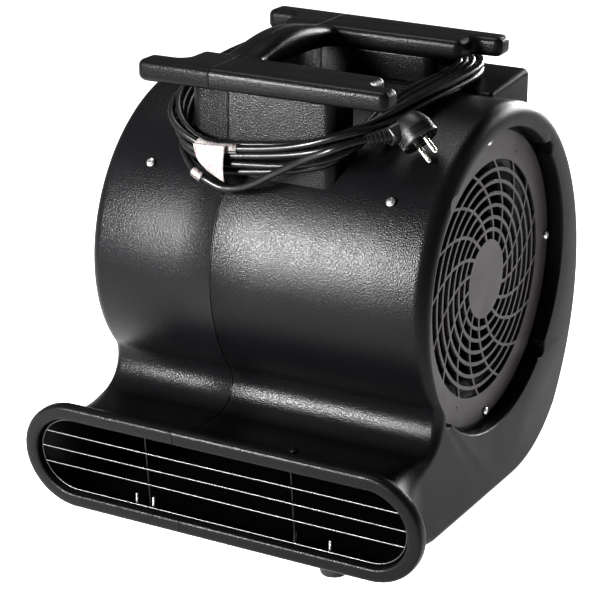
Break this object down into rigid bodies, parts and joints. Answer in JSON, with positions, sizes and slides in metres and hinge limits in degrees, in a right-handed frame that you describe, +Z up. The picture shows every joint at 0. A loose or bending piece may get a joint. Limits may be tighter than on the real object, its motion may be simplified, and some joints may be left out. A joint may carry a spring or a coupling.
{
  "type": "air mover",
  "caption": "Radial floor air mover: snail-shaped moulded housing, side inlet grilles, low wide outlet with a wire guard, stacking bars, carry grip and a wound mains cord.",
  "frame": {"origin": "on the floor, under the middle of the machine's box without its cord", "axes": "+Z up, -Y out of the air outlet, +X to the machine's right seen from behind it, along the fan axis"},
  "size_m": [0.43, 0.4372, 0.464],
  "materials": {
    "housing_plastic": "rotationally moulded polyethylene with a fine pebble grain, semi-gloss",
    "grille_plastic": "injection-moulded, smooth satin dark grey",
    "fan_plastic": "glass-filled moulding, satin",
    "knob_plastic": "moulded knob, satin",
    "button_plastic": "glossy red moulding",
    "motor_alloy": "cast and pressed alloy, dull",
    "zinc_steel": "bright zinc-plated steel",
    "foot_rubber": "black rubber, dull",
    "cord_rubber": "black cord sheath, smooth and slightly glossy",
    "pin_metal": "nickel-plated brass"
  },
  "bodies": {
    "machine": {"housing_scroll": "housing_plastic", "housing_side_right": "housing_plastic", "housing_side_left": "housing_plastic", "outlet_flange": "housing_plastic", "front_bar": "housing_plastic", "rear_bar": "housing_plastic", "carry_grip": "housing_plastic", "front_pedestal": "housing_plastic", "rear_pedestal": "housing_plastic", "control_box": "housing_plastic", "control_panel": "grille_plastic", "inlet_grille_right": "grille_plastic", "inlet_grille_left": "grille_plastic", "grille_screw_right_1": "zinc_steel", "grille_screw_right_2": "zinc_steel", "grille_screw_right_3": "zinc_steel", "grille_screw_right_4": "zinc_steel", "grille_screw_left_1": "zinc_steel", "grille_screw_left_2": "zinc_steel", "grille_screw_left_3": "zinc_steel", "grille_screw_left_4": "zinc_steel", "bell_mouth_right": "fan_plastic", "motor_mount": "fan_plastic", "motor_body": "motor_alloy", "run_capacitor": "motor_alloy", "motor_bolt_1": "zinc_steel", "motor_bolt_2": "zinc_steel", "motor_bolt_3": "zinc_steel", "outlet_guard": "zinc_steel", "guard_pin_1": "zinc_steel", "guard_pin_2": "zinc_steel", "guard_pin_3": "zinc_steel", "guard_pin_4": "zinc_steel", "drum_screw_left": "zinc_steel", "drum_screw_right": "zinc_steel", "duct_screw": "zinc_steel", "foot_front_left": "foot_rubber", "foot_front_right": "foot_rubber", "foot_rear_left": "foot_rubber", "foot_rear_right": "foot_rubber", "speed_switch": "fan_plastic", "circuit_breaker": "fan_plastic", "cord_gland": "cord_rubber", "panel_screw_left": "zinc_steel", "panel_screw_right": "zinc_steel", "cord_lead": "cord_rubber", "cord_coil": "cord_rubber", "cord_tail": "cord_rubber", "plug_body": "cord_rubber", "plug_pin_low": "pin_metal", "plug_pin_high": "pin_metal"},
    "impeller": {"impeller_wheel": "fan_plastic", "impeller_hub": "motor_alloy", "motor_shaft": "zinc_steel"},
    "speed_knob": {"speed_knob": "knob_plastic"},
    "reset_button": {"reset_button": "button_plastic"}
  },
  "joints": [
    {"name": "impeller_spin", "type": "hinge", "parent": "machine", "child": "impeller", "pos_m": [0, 0.0189, 0.238], "axis": [1, 0, 0], "continuous": true},
    {"name": "speed_knob_turn", "type": "hinge", "parent": "machine", "child": "speed_knob", "pos_m": [-0.07, 0.1589, 0.397], "axis": [0, 1, 0], "range_deg": [-135, 0]},
    {"name": "reset_button_press", "type": "slide", "parent": "machine", "child": "reset_button", "axis": [0, -1, 0], "range_m": [0, 0.003], "stiffness_N_per_m": 400, "springref_m": -0.002}
  ]
}
